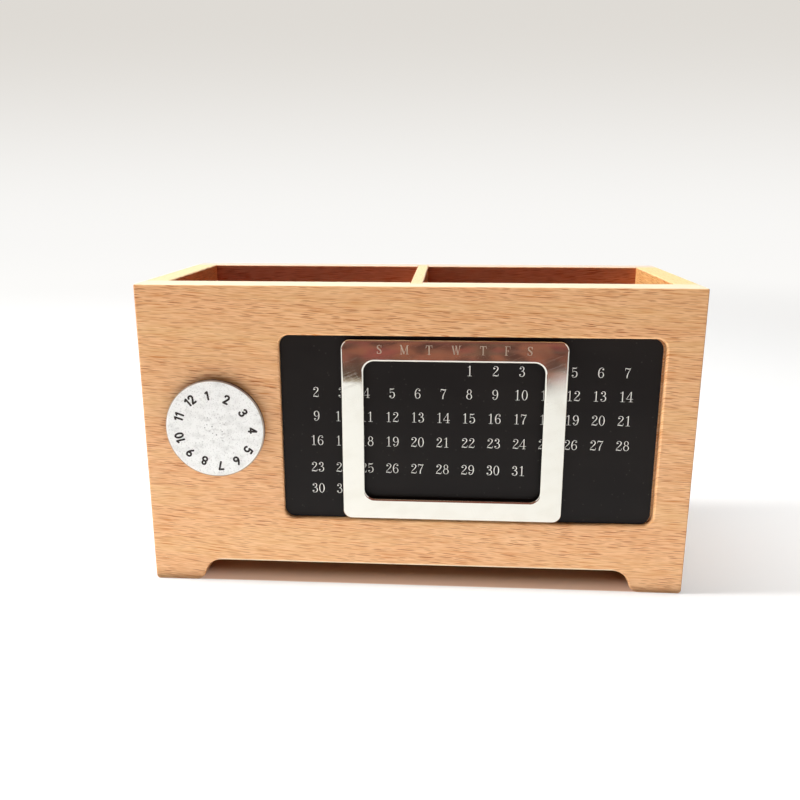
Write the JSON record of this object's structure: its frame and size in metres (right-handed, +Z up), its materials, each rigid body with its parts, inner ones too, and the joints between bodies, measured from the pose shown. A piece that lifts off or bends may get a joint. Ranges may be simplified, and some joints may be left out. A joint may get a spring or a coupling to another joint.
{
  "type": "desk organiser with calendar",
  "caption": "Beech desk organiser with open pen wells, arched feet, a calendar window with a steel frame that slides over a printed plate, and a turning month dial.",
  "frame": {"origin": "on the table under the feet, in the middle of the footprint, dial included", "axes": "+X left to right seen from the front, +Y from the front to the back, +Z up; the dial and the window face -Y"},
  "size_m": [0.18, 0.0778, 0.1025],
  "materials": {
    "beech": "sanded, clear matt oil",
    "adhesive_film": "double-sided film",
    "black_coated_steel": "matt black coat",
    "polished_steel": "mirror polished stainless steel",
    "nickel_plating": "nickel plated",
    "blasted_steel": "fine blasted, polished rim",
    "plain_steel": "zinc plated",
    "felt": "felt",
    "brass": "turned",
    "nylon": "natural nylon"
  },
  "bodies": {
    "case": {"front_panel": "beech", "back_panel": "beech", "left_side_panel": "beech", "right_side_panel": "beech", "floor_board": "beech", "divider": "beech", "front_corner_dowels": "beech", "rear_corner_dowels": "beech", "plate_adhesive": "adhesive_film", "calendar_plate": "black_coated_steel", "dial_front_washer": "felt", "dial_bush": "brass"},
    "frame": {"month_frame": "polished_steel", "frame_magnets": "nickel_plating"},
    "dial": {"month_dial": "blasted_steel", "dial_stud": "plain_steel", "dial_friction_washer": "nylon", "dial_back_washer": "plain_steel", "dial_lock_nut": "plain_steel"}
  },
  "joints": [
    {"name": "frame_slide", "type": "slide", "parent": "case", "child": "frame", "axis": [1, 0, 0], "range_m": [-0.0196, 0.0296]},
    {"name": "dial_turn", "type": "hinge", "parent": "case", "child": "dial", "pos_m": [-0.0654, -0.0361, 0.05565], "axis": [0, -1, 0], "continuous": true}
  ]
}
